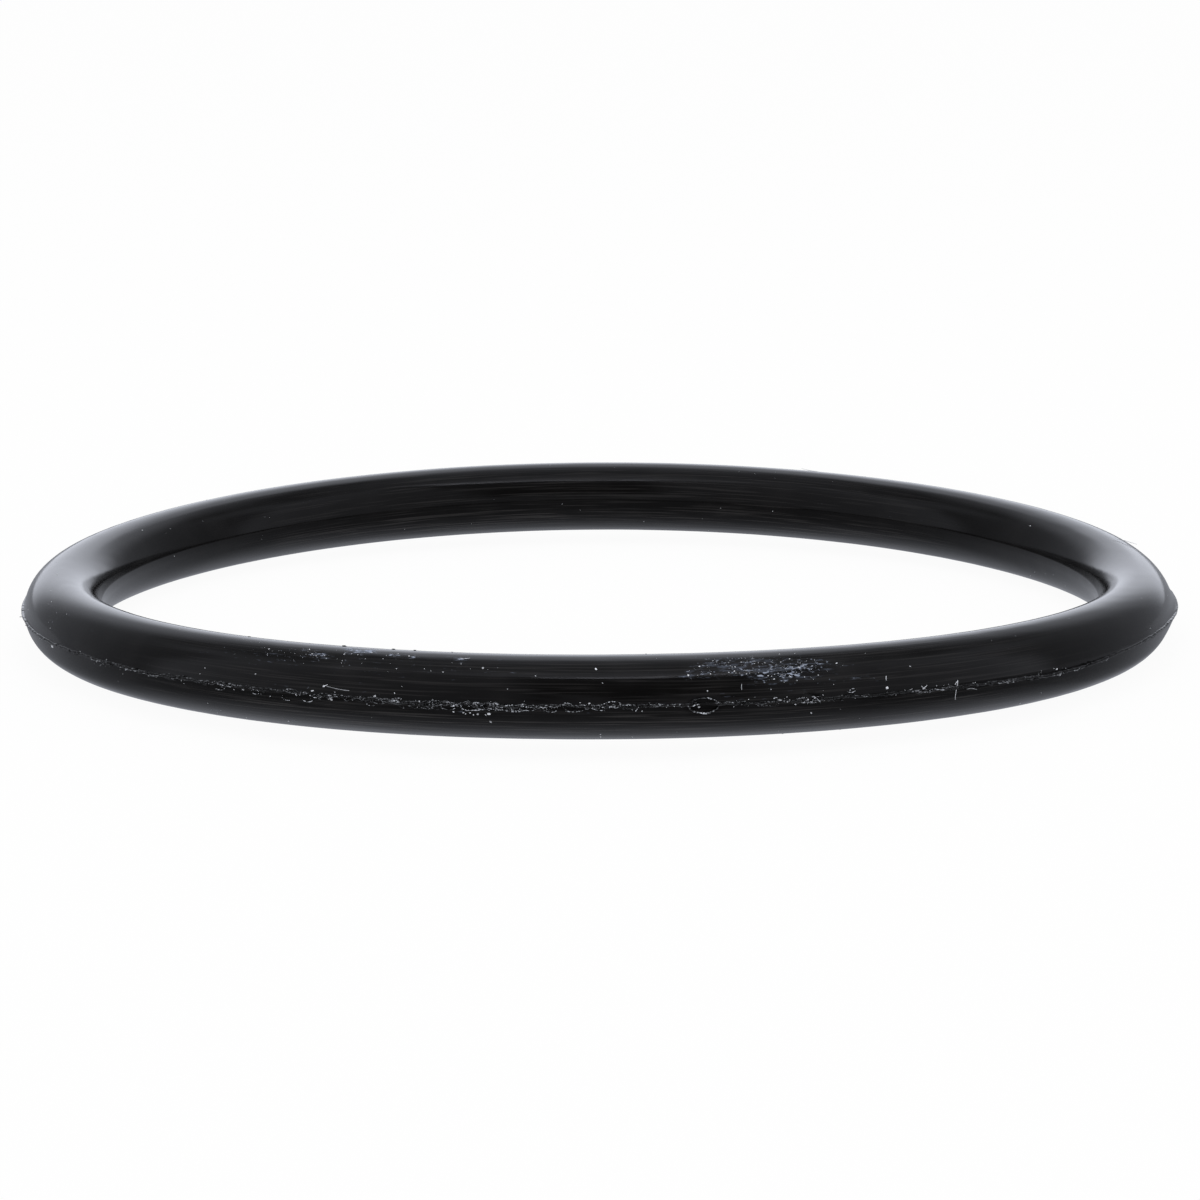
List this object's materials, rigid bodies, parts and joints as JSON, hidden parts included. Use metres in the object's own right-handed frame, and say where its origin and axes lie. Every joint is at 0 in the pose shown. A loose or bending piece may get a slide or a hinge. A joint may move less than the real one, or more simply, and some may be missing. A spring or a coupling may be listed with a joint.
{
  "type": "rubber o-ring",
  "caption": "Black moulded rubber o-ring with a round section, lying flat, with a torn parting-line flash round its outside.",
  "frame": {"origin": "centre of the ring on the mould's parting plane, half way up the section", "axes": "+Z along the ring's axis; the ring lies flat in the XY plane, and the thick flash fin points to +X"},
  "size_m": [0.0274, 0.0274, 0.0018],
  "materials": {
    "rubber": "satin, faintly dusty"
  },
  "bodies": {
    "root": {"o_ring": "rubber"}
  },
  "joints": []
}
